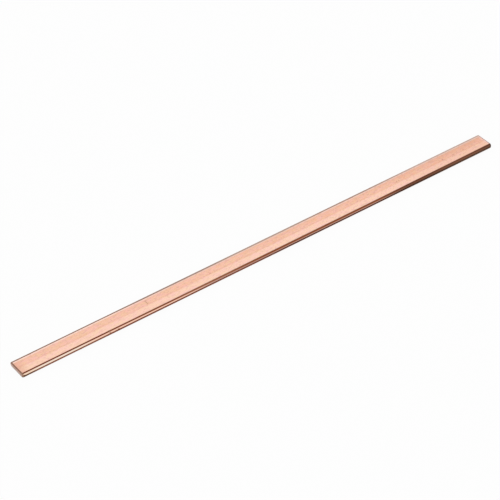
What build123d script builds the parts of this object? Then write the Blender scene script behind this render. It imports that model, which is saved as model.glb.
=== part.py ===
from build123d import *
import os

# One cut length of drawn copper flat bar, a single solid piece.
# The bar lies on a wide face: X runs along its length, Y across its width, Z up.
# The origin is the middle of the underside. All sizes are millimetres, and angles degrees.

# The section, as the drawing die leaves it
width = 15.0
thickness = 4.0
edge_radius = 1.6  # the four long edges are drawn round, well into the thickness

# The cuts. The near end is at -X, the far end at +X
length = 400.0  # along the upper face, cut to cut
near_cut_lean = 7.0  # the near cut ran off square, so its lower edge is set back
far_cut_lean = 0.0
cut_edge_break = 0.8  # radius that deburring leaves round each cut face

# Roundings stay inside the metal that carries them
corner_radius = min(edge_radius, 0.45 * thickness)
rim_radius = min(cut_edge_break, 0.8 * corner_radius)

# Raw bar beyond each cut, longer than either cut can lean over
trim_length = 2.0 * thickness


def drawn_bar():
    """The rounded section, drawn straight along X and left longer than the finished bar."""
    die_centre = (-length / 2 - trim_length, 0, thickness / 2)
    die = Plane(origin=die_centre, x_dir=(0, 1, 0), z_dir=(1, 0, 0))
    section = die * RectangleRounded(width, thickness, corner_radius)
    return extrude(section, length + 2 * trim_length)


def cut_plane(side, lean):
    """The plane of one cut, facing out of the bar, through the end of the upper face.

    The side is -1 for the near end and 1 for the far end.
    """
    upper_edge = (side * length / 2, 0, thickness)
    square_cut = Plane(origin=upper_edge, x_dir=(0, 1, 0), z_dir=(side, 0, 0))
    # Turning about Y tips the cut face downwards and sets its lower edge back
    return square_cut.rotated((0, side * lean, 0))


def cut_to_length(bar):
    """Takes the raw bar off at both ends."""
    for side, lean in ((-1, near_cut_lean), (1, far_cut_lean)):
        bar = split(bar, cut_plane(side, lean), keep=Keep.BOTTOM)
    return bar


def deburred(bar):
    """Rounds the whole rim of each cut face, over the drawn corners too."""
    faces_along_bar = bar.faces().sort_by(Axis.X)
    cut_faces = (faces_along_bar[0], faces_along_bar[-1])
    rims = [edge for face in cut_faces for edge in face.edges()]
    return fillet(rims, rim_radius)


flat_bar = deburred(cut_to_length(drawn_bar()))

os.makedirs("parts", exist_ok=True)
export_step(flat_bar, "parts/flat_bar.step")
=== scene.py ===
from math import cos, pi, radians, sin, tan

import bpy
from mathutils import Matrix, Vector


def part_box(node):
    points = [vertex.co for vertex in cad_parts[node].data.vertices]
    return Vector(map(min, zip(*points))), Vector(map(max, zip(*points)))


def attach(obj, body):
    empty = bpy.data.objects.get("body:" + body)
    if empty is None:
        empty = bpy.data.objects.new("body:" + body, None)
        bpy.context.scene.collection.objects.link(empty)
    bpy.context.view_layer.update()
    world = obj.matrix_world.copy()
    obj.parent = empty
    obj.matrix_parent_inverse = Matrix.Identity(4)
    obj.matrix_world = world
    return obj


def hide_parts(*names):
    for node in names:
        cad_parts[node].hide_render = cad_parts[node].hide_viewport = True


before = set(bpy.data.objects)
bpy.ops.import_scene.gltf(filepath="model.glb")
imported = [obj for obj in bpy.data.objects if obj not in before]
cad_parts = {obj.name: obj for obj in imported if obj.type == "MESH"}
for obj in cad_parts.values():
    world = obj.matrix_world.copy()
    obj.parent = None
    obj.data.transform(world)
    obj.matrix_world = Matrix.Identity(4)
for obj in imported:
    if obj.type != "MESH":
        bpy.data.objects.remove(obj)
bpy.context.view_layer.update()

# The flat bar is one length of copper, drawn cold through a die, which rounds its four long edges and
# leaves fine lines along it. It is cut to length, the near cut leaning by a few degrees, and the rims
# of both cuts are filed round. It lies loose on a wide face.

MM = 0.001

# The roundings and the lean are the solid's own
EDGE_RADIUS = 1.6 * MM
RIM_RADIUS = 0.8 * MM
NEAR_CUT_LEAN = radians(7)
low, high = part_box("flat_bar")
LENGTH = 2 * high.x  # from the square far cut, since the lean takes a little off the near end
WIDTH = high.y - low.y
THICKNESS = high.z - low.z

# Quads of its mesh: round the section, along the body, over each rim, and from rim to spine on each cut
AROUND = 128
ALONG = 700
OVER_RIM = 6
ON_CUT = 12

# Mesh points that lie nearer than this are merged into one, at the seam and along each spine
MERGE_DISTANCE = 0.002 * MM

# Fine relief that the die, the saw and handling have left: nicks in the front edge, pits in the upper face
DRAW_LINE_DEPTH = 0.012 * MM
SAW_MARK_DEPTH = 0.05 * MM
NICK_DEPTH = 0.25 * MM
NICK_RADIUS = 1.2 * MM
PIT_DEPTH = 0.05 * MM
PIT_RADIUS = 0.8 * MM
TOP = THICKNESS
FRONT = -WIDTH / 2
NICKS = [
    (-132.8 * MM, FRONT + 0.6 * MM, TOP - 0.4 * MM),
    (-132.6 * MM, FRONT + 0.2 * MM, TOP - 1.0 * MM),
    (-128.0 * MM, FRONT + 0.1 * MM, 1.7 * MM),
    (-126.0 * MM, FRONT + 0.1 * MM, 2.3 * MM),
    (-194.5 * MM, FRONT + 0.2 * MM, 1.2 * MM),
    (-60.5 * MM, FRONT + 0.2 * MM, 1.3 * MM),
]
PITS = [
    (-98.1 * MM, 0.2 * MM, TOP),
    (-97.9 * MM, 1.7 * MM, TOP),
    (-97.7 * MM, 3.1 * MM, TOP),
    (-47.0 * MM, 0.0, TOP),
    (116.7 * MM, 0.3 * MM, TOP),
    (118.8 * MM, 0.5 * MM, TOP),
    (159.5 * MM, 0.2 * MM, TOP),
    (169.5 * MM, 0.1 * MM, TOP),
    (178.9 * MM, -0.2 * MM, TOP),
]

# How long, broad and high one line, patch, streak, dot or speck is
DRAW_LINE_GRAIN = (250 * MM, 0.7 * MM, 0.7 * MM)
SAW_MARK_GRAIN = (20 * MM, 4 * MM, 0.4 * MM)
PATCH_GRAIN = (4 * MM, 1.7 * MM, 1.7 * MM)
WARM_PATCH_GRAIN = (5 * MM, 1.5 * MM, 1.5 * MM)
STREAK_GRAIN = (60 * MM, 0.5 * MM, 0.5 * MM)
DOT_GRAIN = (1.8 * MM, 0.35 * MM, 1.0 * MM)
SPECK_GRAIN = (2.0 * MM, 1.2 * MM, 1.2 * MM)

# How rough the drawn copper is and what streaks and cuts add to that, and how dark pits and nicks are
DRAWN_ROUGHNESS = 0.22
STREAK_ROUGHNESS = 0.1
CUT_ROUGHNESS = 0.25
PIT_DARKENING = 0.6
NICK_DARKENING = 0.5


class Value:
    """A node's output that can stand in arithmetic: each operator adds a Math node to its tree."""

    def __init__(self, socket):
        self.socket = socket

    def math(self, operation, *operands):
        nodes = Nodes(self.socket.id_data)
        return nodes.add("ShaderNodeMath", {"operation": operation}, dict(enumerate(operands)))

    def __add__(self, other):
        return self.math("ADD", self, other)

    def __radd__(self, other):
        return self.math("ADD", other, self)

    def __sub__(self, other):
        return self.math("SUBTRACT", self, other)

    def __rsub__(self, other):
        return self.math("SUBTRACT", other, self)

    def __mul__(self, other):
        return self.math("MULTIPLY", self, other)

    def __rmul__(self, other):
        return self.math("MULTIPLY", other, self)

    def __truediv__(self, other):
        return self.math("DIVIDE", self, other)

    def __rtruediv__(self, other):
        return self.math("DIVIDE", other, self)

    def __mod__(self, other):
        return self.math("FLOORED_MODULO", self, other)

    def __rmod__(self, other):
        return self.math("FLOORED_MODULO", other, self)

    def __abs__(self):
        return self.math("ABSOLUTE", self)

    def floor(self):
        return self.math("FLOOR", self)

    def sign(self):
        return self.math("SIGN", self)

    def sin(self):
        return self.math("SINE", self)

    def cos(self):
        return self.math("COSINE", self)

    def at_least(self, limit):
        return self.math("MAXIMUM", self, limit)

    def at_most(self, limit):
        return self.math("MINIMUM", self, limit)

    def between(self, lowest, highest):
        return self.at_least(lowest).at_most(highest)

    def rise(self, start, end):
        """0 up to the start, 1 from the end, and a smooth rise between them."""
        inputs = {"Value": self, "From Min": start, "From Max": end}
        settings = {"interpolation_type": "SMOOTHSTEP"}
        return Nodes(self.socket.id_data).add("ShaderNodeMapRange", settings, inputs)


class Nodes:
    """A node tree, with one method that adds any node to it."""

    def __init__(self, tree):
        self.tree = tree

    def add(self, kind, settings=(), inputs=(), output=0):
        """Adds a node, sets it first, then fills or links its sockets, and gives the output asked for.

        A node that has no outputs gives None.
        """
        node = self.tree.nodes.new(kind)
        for name, setting in dict(settings).items():
            setattr(node, name, setting)
        for name, given in dict(inputs).items():
            self.put(given, self.find(node.inputs, name))
        return Value(self.find(node.outputs, output)) if node.outputs else None

    def find(self, sockets, name):
        """The socket in use among those of one name, since some nodes have one for each data type."""
        if isinstance(name, int):
            return sockets[name]
        return next(socket for socket in sockets if socket.name == name and socket.enabled)

    def put(self, given, socket):
        if isinstance(given, Value):
            self.tree.links.new(given.socket, socket)
        else:
            socket.default_value = given

    def point(self, x, y, z):
        return self.add("ShaderNodeCombineXYZ", {}, {"X": x, "Y": y, "Z": z})

    def noise(self, x, y, z, grain, detail=2.0):
        """Smooth noise from 0 to 1, whose grain is the size of its patches along each axis."""
        place = self.point(x / grain[0], y / grain[1], z / grain[2])
        return self.add("ShaderNodeTexNoise", {}, {"Vector": place, "Scale": 1.0, "Detail": detail}, "Fac")


def number_inputs(nodes, names):
    """Gives a tree of Geometry Nodes its named number inputs, each as a Value."""
    for name in names:
        nodes.tree.interface.new_socket(name, in_out="INPUT", socket_type="NodeSocketFloat")
    return [nodes.add("NodeGroupInput", {}, {}, name) for name in names]


def set_inputs(modifier, values):
    """Sets a modifier's inputs through the identifiers of its tree's sockets."""
    for socket in modifier.node_group.interface.items_tree:
        if socket.in_out == "INPUT":
            modifier[socket.identifier] = values[socket.name]


def nearness(nodes, place, spots, radius):
    """1 on any of the spots and 0 from a radius away."""
    near = 0.0
    for spot in spots:
        away = nodes.add("ShaderNodeVectorMath", {"operation": "DISTANCE"}, {0: place, 1: spot}, "Value")
        near = away.rise(radius, 0.0) + near
    return near.at_most(1.0)


def bar_form(material):
    """The tree that bends a flat grid into the bar: its columns go round the section, its rows along."""
    nodes = Nodes(bpy.data.node_groups.new("bar_form", "GeometryNodeTree"))
    names = ("Length", "Width", "Thickness", "Edge Radius", "Rim Radius", "Near Cut Slope")
    length, width, thickness, edge, rim, slope = number_inputs(nodes, names)
    nodes.tree.interface.new_socket("Bar", in_out="OUTPUT", socket_type="NodeSocketGeometry")

    rows = ALONG + 2 * (OVER_RIM + ON_CUT)
    counts = {"Vertices X": rows + 1, "Vertices Y": AROUND + 1}
    grid = nodes.add("GeometryNodeMeshGrid", {}, counts, "Mesh")

    # A half more keeps the division clear of rounding, so that each point falls in its own row
    number = nodes.add("GeometryNodeInputIndex")
    row = ((number + 0.5) / (AROUND + 1)).floor()
    column = number - row * (AROUND + 1)

    # The way round each quarter of the section starts at the middle of a narrow side
    quarter = column * (4 / AROUND)
    part = quarter - quarter.floor()
    turned_back = quarter.floor() % 2.0
    straight_side = thickness / 2 - edge
    straight_face = width / 2 - edge
    round_edge = edge * (pi / 2)
    way = (part + turned_back * (1 - 2 * part)) * (straight_side + round_edge + straight_face)
    rise = ((way - straight_side) / edge).between(0.0, pi / 2)
    back = (quarter * (pi / 2)).cos().sign()
    up = (quarter * (pi / 2)).sin().sign()
    out_y = rise.cos() * back
    out_z = rise.sin() * up
    centre_y = (straight_face - (way - straight_side - round_edge).at_least(0.0)) * back
    centre_z = way.at_most(straight_side) * up

    # Rows counted from the nearer end: first the cut face, then the filed rim, then the body
    from_end = row.at_most(rows - row)
    end = (row - rows / 2).sign()
    on_face = (from_end / ON_CUT).at_most(1.0)
    off_rim = ((from_end - ON_CUT) / OVER_RIM).between(0.0, 1.0)
    angle = off_rim * (pi / 2)
    along = (from_end - (ON_CUT + OVER_RIM)).at_least(0.0) * ((length - 2 * rim) / ALONG)
    x = end * (length / 2 - rim * (1 - angle.cos()) - along)
    reach = edge - rim * (1 - angle.sin())
    rim_y = centre_y + out_y * reach
    rim_z = centre_z + out_z * reach
    spine = (width - thickness) / 2
    spine_y = rim_y.between(spine * -1, spine)
    y = spine_y + (rim_y - spine_y) * on_face
    z = rim_z * on_face + thickness / 2

    # The near cut leans from its upper edge, and the lean dies out along the bar
    x = x + (0.5 - x / length) * (thickness - z) * slope

    # Fine relief goes inwards only
    drawn = angle.sin()
    sawn = 1 - drawn
    place = nodes.point(x, y, z)
    nick = nearness(nodes, place, NICKS, NICK_RADIUS)
    pit = nearness(nodes, place, PITS, PIT_RADIUS)
    draw_lines = nodes.noise(x, y, z, DRAW_LINE_GRAIN)
    depth = drawn * draw_lines * DRAW_LINE_DEPTH + nick * NICK_DEPTH + pit * PIT_DEPTH
    y = y - out_y * depth
    z = z - out_z * depth
    saw_lines = nodes.noise(x, y, z, SAW_MARK_GRAIN)
    x = x - end * sawn * saw_lines * SAW_MARK_DEPTH

    shape = nodes.add("GeometryNodeSetPosition", {}, {"Geometry": grid, "Position": nodes.point(x, y, z)})
    inputs = {"Geometry": shape, "Name": "over_rim", "Value": 1 - off_rim}
    shape = nodes.add("GeometryNodeStoreNamedAttribute", {"data_type": "FLOAT", "domain": "POINT"}, inputs)
    inputs = {"Geometry": shape, "Distance": MERGE_DISTANCE}
    closed = nodes.add("GeometryNodeMergeByDistance", {}, inputs)
    smooth = nodes.add("GeometryNodeSetShadeSmooth", {}, {"Geometry": closed})
    whole = nodes.add("GeometryNodeRealizeInstances", {}, {"Geometry": smooth})
    clad = nodes.add("GeometryNodeSetMaterial", {}, {"Geometry": whole, "Material": material})
    nodes.add("NodeGroupOutput", {}, {"Bar": clad})
    return nodes.tree


def blend(nodes, share, first, second):
    """A colour that goes from the first to the second as the share goes from 0 to 1."""
    inputs = {"Factor": share, "A": first, "B": second}
    return nodes.add("ShaderNodeMix", {"data_type": "RGBA"}, inputs, "Result")


def opaque(red, green, blue):
    return (red, green, blue, 1.0)


def along_bar(nodes, x, tone, changes):
    """A colour that changes along the bar. Each change gives its start and end, in mm, and its tone."""
    for start, end, next_tone in changes:
        tone = blend(nodes, x.rise(start * MM, end * MM), tone, next_tone)
    return tone


def wide_faces(nodes, x, y, z, streaks):
    """Clean copper in two tones, redder along the back half and paler along the front one."""
    dull_copper = opaque(0.80, 0.43, 0.30)
    bright_copper = opaque(0.92, 0.60, 0.53)
    tarnish = opaque(0.70, 0.41, 0.33)

    # Both halves have soft patches, and the back one also warmer patches, most of them further along.
    # The warm ones read the noise a bar's width away, so that they fall elsewhere
    patches = nodes.noise(x, y, z, PATCH_GRAIN).rise(0.38, 0.62)
    warm_patches = nodes.noise(x, y, z + WIDTH, WARM_PATCH_GRAIN).rise(0.48, 0.66)
    warmth = 0.25 + x.rise(-110 * MM, 0.0) * 0.35 + x.rise(80 * MM, 160 * MM) * 0.4
    red_half = blend(nodes, patches, opaque(0.97, 0.56, 0.463), opaque(0.93, 0.58, 0.392))
    red_half = blend(nodes, warm_patches * warmth, red_half, opaque(0.95, 0.50, 0.336))
    pale_half = blend(nodes, patches, opaque(1.0, 0.632, 0.537), opaque(0.99, 0.668, 0.49))
    wide = blend(nodes, y.rise(-0.6 * MM, -2.2 * MM), red_half, pale_half)

    # The copper is duller on a dotted line between the halves, in streaks, beside the back edge, at the
    # near cut, and towards the far end, most of all on the back half
    dots = nodes.noise(x, y, z, DOT_GRAIN).rise(0.48, 0.66)
    dotted_line = abs(y + 0.5 * MM).rise(0.6 * MM, 0.1 * MM) * (0.15 + dots * 0.7)
    in_streaks = streaks.rise(0.45, 0.75) * 0.12
    by_back_edge = y.rise(2.4 * MM, 3.6 * MM) * 0.1
    by_near_cut = x.rise(8 * MM - LENGTH / 2, 1 * MM - LENGTH / 2) * 0.55
    backwards = y.rise(-0.5 * MM, 3.0 * MM)
    past_middle = x.rise(-60 * MM, 30 * MM) * backwards * 0.18
    to_far_end = x.rise(80 * MM, 190 * MM) * (0.29 + backwards * 0.15)
    dulled = dotted_line + in_streaks + by_back_edge + by_near_cut + past_middle + to_far_end
    wide = blend(nodes, dulled.at_most(1.0), wide, dull_copper)

    # It is bright again just before the far cut, and a painted highlight runs as a light line where the
    # back edge begins
    by_far_cut = x.rise(LENGTH / 2 - 3.0 * MM, LENGTH / 2 - 1.8 * MM) * 0.8
    wide = blend(nodes, by_far_cut, wide, bright_copper)
    painted_highlight = along_bar(nodes, x, opaque(1.0, 0.73, 0.63), (
        (-110, -40, opaque(0.85, 0.625, 0.54)),
        (20, 50, opaque(0.94, 0.68, 0.585)),
        (70, 100, opaque(0.88, 0.65, 0.565)),
        (120, 160, opaque(0.81, 0.60, 0.52)),
    ))
    wide = blend(nodes, y.rise(4.4 * MM, 4.9 * MM), wide, painted_highlight)

    # Fine specks of tarnish lie over it all, stronger on the back half and past the middle
    specks = nodes.noise(x, y, z, SPECK_GRAIN).rise(0.5, 0.68)
    specks = specks * (0.34 + y.rise(-2.5 * MM, 1.0 * MM) * 0.14) * (1 + x.rise(-20 * MM, 60 * MM) * 0.35)
    return blend(nodes, specks, wide, tarnish)


def edge_bands(nodes, x, y, z, wide):
    """Painted dark reflections along the rounded edges, with painted reflections of the floor on the narrow
    sides between an upper and a lower line.
    """
    # The upper front line is a painted dark reflection of the dark side of the room, not oxide
    front_painted_reflection = along_bar(nodes, x, opaque(0.30, 0.055, 0.010), (
        (-150, -110, opaque(0.35, 0.092, 0.028)),
        (-90, -65, opaque(0.44, 0.15, 0.07)),
        (-50, 0, opaque(0.34, 0.092, 0.030)),
        (90, 120, opaque(0.21, 0.07, 0.036)),
        (130, 170, opaque(0.26, 0.10, 0.055)),
        (182, 195, opaque(0.21, 0.085, 0.05)),
    ))
    # The upper back line is a painted dark reflection
    back_painted_reflection = along_bar(nodes, x, opaque(0.28, 0.145, 0.10), (
        (-135, -85, opaque(0.37, 0.235, 0.19)),
        (-50, -20, opaque(0.47, 0.32, 0.26)),
        (20, 60, opaque(0.41, 0.25, 0.195)),
        (80, 150, opaque(0.60, 0.42, 0.36)),
    ))

    # The sides carry a painted reflection of the floor beside them: bright at the near end, browner further
    # on and dark at the far end
    side_painted_reflection = along_bar(nodes, x, opaque(1.0, 0.75, 0.57), (
        (-195, -185, opaque(1.0, 0.82, 0.68)),
        (-160, -140, opaque(1.0, 0.65, 0.50)),
        (-80, -40, opaque(0.54, 0.37, 0.32)),
        (85, 125, opaque(0.115, 0.07, 0.052)),
    ))
    # The lower line is a painted reflection of the bar's own shadow on the floor
    lower_painted_shade = along_bar(nodes, x, opaque(0.14, 0.06, 0.035), (
        (-195, -185, opaque(0.25, 0.085, 0.045)),
        (-145, -125, opaque(0.21, 0.055, 0.027)),
        (-20, 20, opaque(0.105, 0.025, 0.012)),
        (85, 120, opaque(0.065, 0.022, 0.014)),
        (140, 165, opaque(0.09, 0.042, 0.027)),
    ))

    # The upper lines start at these distances from the middle, and the sides and lower lines at these
    # heights. All shift a little along the bar, and the front line also gets softer past the middle
    softer = x.rise(80 * MM, 150 * MM)
    front_from = 6.12 * MM + x.rise(-190 * MM, -60 * MM) * (0.3 * MM)
    front_from = front_from - softer * (0.55 * MM) - x.rise(150 * MM, 200 * MM) * (0.25 * MM)
    back_from = 5.5 * MM - x.rise(-130 * MM, -90 * MM) * (0.3 * MM) + x.rise(20 * MM, 60 * MM) * (0.12 * MM)
    side_from = 3.63 * MM - x.rise(-190 * MM, 20 * MM) * (0.57 * MM)
    lower_from = 2.40 * MM + x.rise(-190 * MM, -100 * MM) * (0.04 * MM)
    lower_from = lower_from + x.rise(-197 * MM, -199 * MM) * (0.5 * MM)
    forwards = y * -1
    colour = blend(nodes, (forwards - front_from).rise(0.0, (1 + softer) * (0.35 * MM)), wide, front_painted_reflection)
    colour = blend(nodes, (y - back_from).rise(0.0, 0.25 * MM), colour, back_painted_reflection)
    colour = blend(nodes, (side_from - z).rise(0.0, 0.3 * MM), colour, side_painted_reflection)
    colour = blend(nodes, (lower_from - z).rise(-0.12 * MM, 0.12 * MM), colour, lower_painted_shade)

    # The underside is a wide face again
    underside = z.rise(1.0 * MM, 0.5 * MM) * abs(y).rise(6.3 * MM, 5.9 * MM)
    return blend(nodes, underside, colour, wide)


def cut_ends(nodes, x, y, z, over_rim, colour):
    """Dark filed rims, which start just before the rounding, round greyish sawn faces. The front and lower
    rims, and the foot of each sawn face, carry painted shade and painted dark reflection.
    """
    painted_rim_shade = opaque(0.08, 0.04, 0.03)
    far_end = x.rise(-10 * MM, 10 * MM)

    # The dark rim, in part painted shade, starts a little before the rounding and reaches further back at
    # the front edge
    reach = abs(x) + y.rise(4 * MM, -6 * MM) * (0.1 * MM) + y.rise(-6.2 * MM, -7.2 * MM) * (0.2 * MM)
    rim_start = LENGTH / 2 - RIM_RADIUS
    filed_and_shaded = reach.rise(rim_start - 0.25 * MM, rim_start + 0.1 * MM).at_least(over_rim.rise(0.0, 0.15))
    near_rim = blend(nodes, over_rim.rise(0.1, 0.7), opaque(0.28, 0.15, 0.105), opaque(0.37, 0.225, 0.175))
    upper_rim = blend(nodes, far_end, near_rim, opaque(0.36, 0.24, 0.20))
    # The front rim is a painted dark reflection at the near end and painted shade at the far end, and the
    # lower rim is painted shade
    front_rim_dark_reflection = blend(nodes, far_end, opaque(0.38, 0.225, 0.155), painted_rim_shade)
    lower_rim_shade = blend(nodes, far_end, opaque(0.13, 0.10, 0.085), painted_rim_shade)
    rim = blend(nodes, y.rise(-5.7 * MM, -6.6 * MM), upper_rim, front_rim_dark_reflection)
    rim = blend(nodes, z.rise(1.8 * MM, 1.3 * MM), rim, lower_rim_shade)
    colour = blend(nodes, filed_and_shaded, colour, rim)

    saw_lines = nodes.noise(x, y, z, SAW_MARK_GRAIN).rise(0.4, 0.62)
    sawn_face = blend(nodes, saw_lines, opaque(0.71, 0.53, 0.48), opaque(0.61, 0.44, 0.39))
    # The dark lower rim reaches over the foot of the sawn face as painted shade
    on_face = over_rim.rise(0.85, 1.0) * z.rise(0.95 * MM, 1.35 * MM)
    return blend(nodes, on_face, colour, sawn_face)


def drawn_copper():
    """Bare copper: clean wide faces, edges with painted dark reflections and painted shade, and greyish
    sawn cuts with dark rims, partly painted shade.
    """
    material = bpy.data.materials.new("drawn_copper")
    material.use_nodes = True
    nodes = Nodes(material.node_tree)
    shader = material.node_tree.nodes["Principled BSDF"]
    here = nodes.add("ShaderNodeTexCoord", {}, {}, "Object")
    x, y, z = (nodes.add("ShaderNodeSeparateXYZ", {}, {"Vector": here}, axis) for axis in "XYZ")
    over_rim = nodes.add("ShaderNodeAttribute", {"attribute_name": "over_rim"}, {}, "Fac")

    streaks = nodes.noise(x, y, z, STREAK_GRAIN, detail=3.0)
    colour = wide_faces(nodes, x, y, z, streaks)
    colour = edge_bands(nodes, x, y, z, colour)
    colour = cut_ends(nodes, x, y, z, over_rim, colour)

    # Pits and nicks are darker, and a filed or sawn end is rougher than the drawn sides
    pits = nearness(nodes, here, PITS, PIT_RADIUS)
    nicks = nearness(nodes, here, NICKS, NICK_RADIUS)
    darkening = pits * PIT_DARKENING + nicks * NICK_DARKENING
    colour = blend(nodes, darkening.at_most(1.0), colour, opaque(0.20, 0.09, 0.05))
    nodes.put(colour, shader.inputs["Base Color"])
    roughness = DRAWN_ROUGHNESS + streaks * STREAK_ROUGHNESS + over_rim * CUT_ROUGHNESS
    nodes.put(roughness, shader.inputs["Roughness"])
    shader.inputs["Metallic"].default_value = 1.0

    # Copper stays warm where it is seen at a glancing angle
    shader.inputs["Specular Tint"].default_value = opaque(0.75, 0.62, 0.52)
    return material


bar = bpy.data.objects.new("drawn_bar", bpy.data.meshes.new("drawn_bar"))
bpy.context.scene.collection.objects.link(bar)
modifier = bar.modifiers.new("form", "NODES")
modifier.node_group = bar_form(drawn_copper())
set_inputs(modifier, {
    "Length": LENGTH,
    "Width": WIDTH,
    "Thickness": THICKNESS,
    "Edge Radius": EDGE_RADIUS,
    "Rim Radius": RIM_RADIUS,
    "Near Cut Slope": tan(NEAR_CUT_LEAN),
})
graph = bpy.context.evaluated_depsgraph_get()
bent = bar.evaluated_get(graph)
made = bpy.data.meshes.new_from_object(bent, preserve_all_data_layers=True, depsgraph=graph)
bar.modifiers.clear()
bar.data = made
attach(bar, "root")
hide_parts("flat_bar")

# The floor is a plain matt white board, wide enough to fill every view. It looks nearly white to the
# camera and in reflections, and still takes the bar's shadow.

FLOOR_REACH = 4.0
BOARD_WHITE = 0.9
BOARD_GLOW = 0.95

board = bpy.data.meshes.new("floor")
corners = [(-1, -1), (1, -1), (1, 1), (-1, 1)]
board.from_pydata([(FLOOR_REACH * a, FLOOR_REACH * b, 0.0) for a, b in corners], [], [range(4)])
floor = bpy.data.objects.new("floor", board)
bpy.context.scene.collection.objects.link(floor)

white = bpy.data.materials.new("white_board")
white.use_nodes = True
white.node_tree.nodes.clear()
nodes = Nodes(white.node_tree)
matt = nodes.add("ShaderNodeBsdfDiffuse", {}, {"Color": opaque(BOARD_WHITE, BOARD_WHITE, BOARD_WHITE)})
glow = nodes.add("ShaderNodeEmission", {}, {"Color": opaque(1.0, 1.0, 1.0), "Strength": 1.0})
camera_ray = nodes.add("ShaderNodeLightPath", {}, {}, "Is Camera Ray")
glossy_ray = nodes.add("ShaderNodeLightPath", {}, {}, "Is Glossy Ray")
transmission_ray = nodes.add("ShaderNodeLightPath", {}, {}, "Is Transmission Ray")
seen = (camera_ray + glossy_ray + transmission_ray).at_most(1.0)
mixed = nodes.add("ShaderNodeMixShader", {}, {0: seen * BOARD_GLOW, 1: matt, 2: glow})
nodes.add("ShaderNodeOutputMaterial", {}, {"Surface": mixed})
board.materials.append(white)

# The room is an even white tent with one dark flag at the right, which the rounded edges show as a
# line. A wide soft box behind the bar lights its upper face.

SKY_LEVEL = 0.90
FLAG_HEADING = radians(120)
FLAG_ELEVATION = radians(58)
FLAG_INNER = radians(10)
FLAG_OUTER = radians(32)
FLAG_DEPTH = 0.55
BOX_HEADING = radians(36)
BOX_ELEVATION = radians(42)
BOX_DISTANCE = 2.0
BOX_WIDTH = 1.6
BOX_HEIGHT = 1.0
BOX_RADIANCE = 0.12


def toward(heading, elevation):
    """The direction of a heading, taken clockwise from +Y, and an elevation."""
    return Vector((sin(heading) * cos(elevation), cos(heading) * cos(elevation), sin(elevation)))


room = bpy.data.worlds.new("room")
bpy.context.scene.world = room
room.use_nodes = True
nodes = Nodes(room.node_tree)
direction = nodes.add("ShaderNodeTexCoord", {}, {}, "Generated")
flag = toward(FLAG_HEADING, FLAG_ELEVATION)
facing = nodes.add("ShaderNodeVectorMath", {"operation": "DOT_PRODUCT"}, {0: direction, 1: flag}, "Value")
shade = facing.rise(cos(FLAG_OUTER), cos(FLAG_INNER))
background = room.node_tree.nodes["Background"]
nodes.put(SKY_LEVEL * (1 - shade * FLAG_DEPTH), background.inputs["Strength"])
background.inputs["Color"].default_value = opaque(1.0, 1.0, 1.0)

lamp = bpy.data.lights.new("back_box", "AREA")
lamp.shape = "RECTANGLE"
lamp.size = BOX_WIDTH
lamp.size_y = BOX_HEIGHT
lamp.energy = BOX_RADIANCE * pi * BOX_WIDTH * BOX_HEIGHT
soft_box = bpy.data.objects.new("back_box", lamp)
box_side = toward(BOX_HEADING, BOX_ELEVATION)
box_turn = box_side.to_track_quat("Z", "Y").to_matrix().to_4x4()
soft_box.matrix_world = Matrix.Translation(box_side * BOX_DISTANCE) @ box_turn
bpy.context.scene.collection.objects.link(soft_box)

# The camera stands in front of the bar, off its near end, and looks down on it through a long lens.
# It is turned by less than half a degree round its line of sight.

CAMERA_HEADING = radians(36.60)
CAMERA_ELEVATION = radians(40.10)
CAMERA_ROLL = radians(-0.42)
CAMERA_DISTANCE = 1.3697
CAMERA_AIM = Vector((-11.14 * MM, 3.12 * MM, TOP))
CAMERA_LENS = 144.87

ahead = toward(CAMERA_HEADING, -CAMERA_ELEVATION)
level = ahead.cross(Vector((0, 0, 1))).normalized()
rightwards = level * cos(CAMERA_ROLL) + level.cross(ahead) * sin(CAMERA_ROLL)
upwards = rightwards.cross(ahead)
view = bpy.data.cameras.new("camera")
view.sensor_width = 36.0
view.lens = CAMERA_LENS
camera = bpy.data.objects.new("camera", view)
turn = Matrix((rightwards, upwards, -ahead)).transposed().to_4x4()
camera.matrix_world = Matrix.Translation(CAMERA_AIM - ahead * CAMERA_DISTANCE) @ turn
bpy.context.scene.collection.objects.link(camera)
bpy.context.scene.camera = camera
bpy.context.scene.view_settings.view_transform = "Standard"
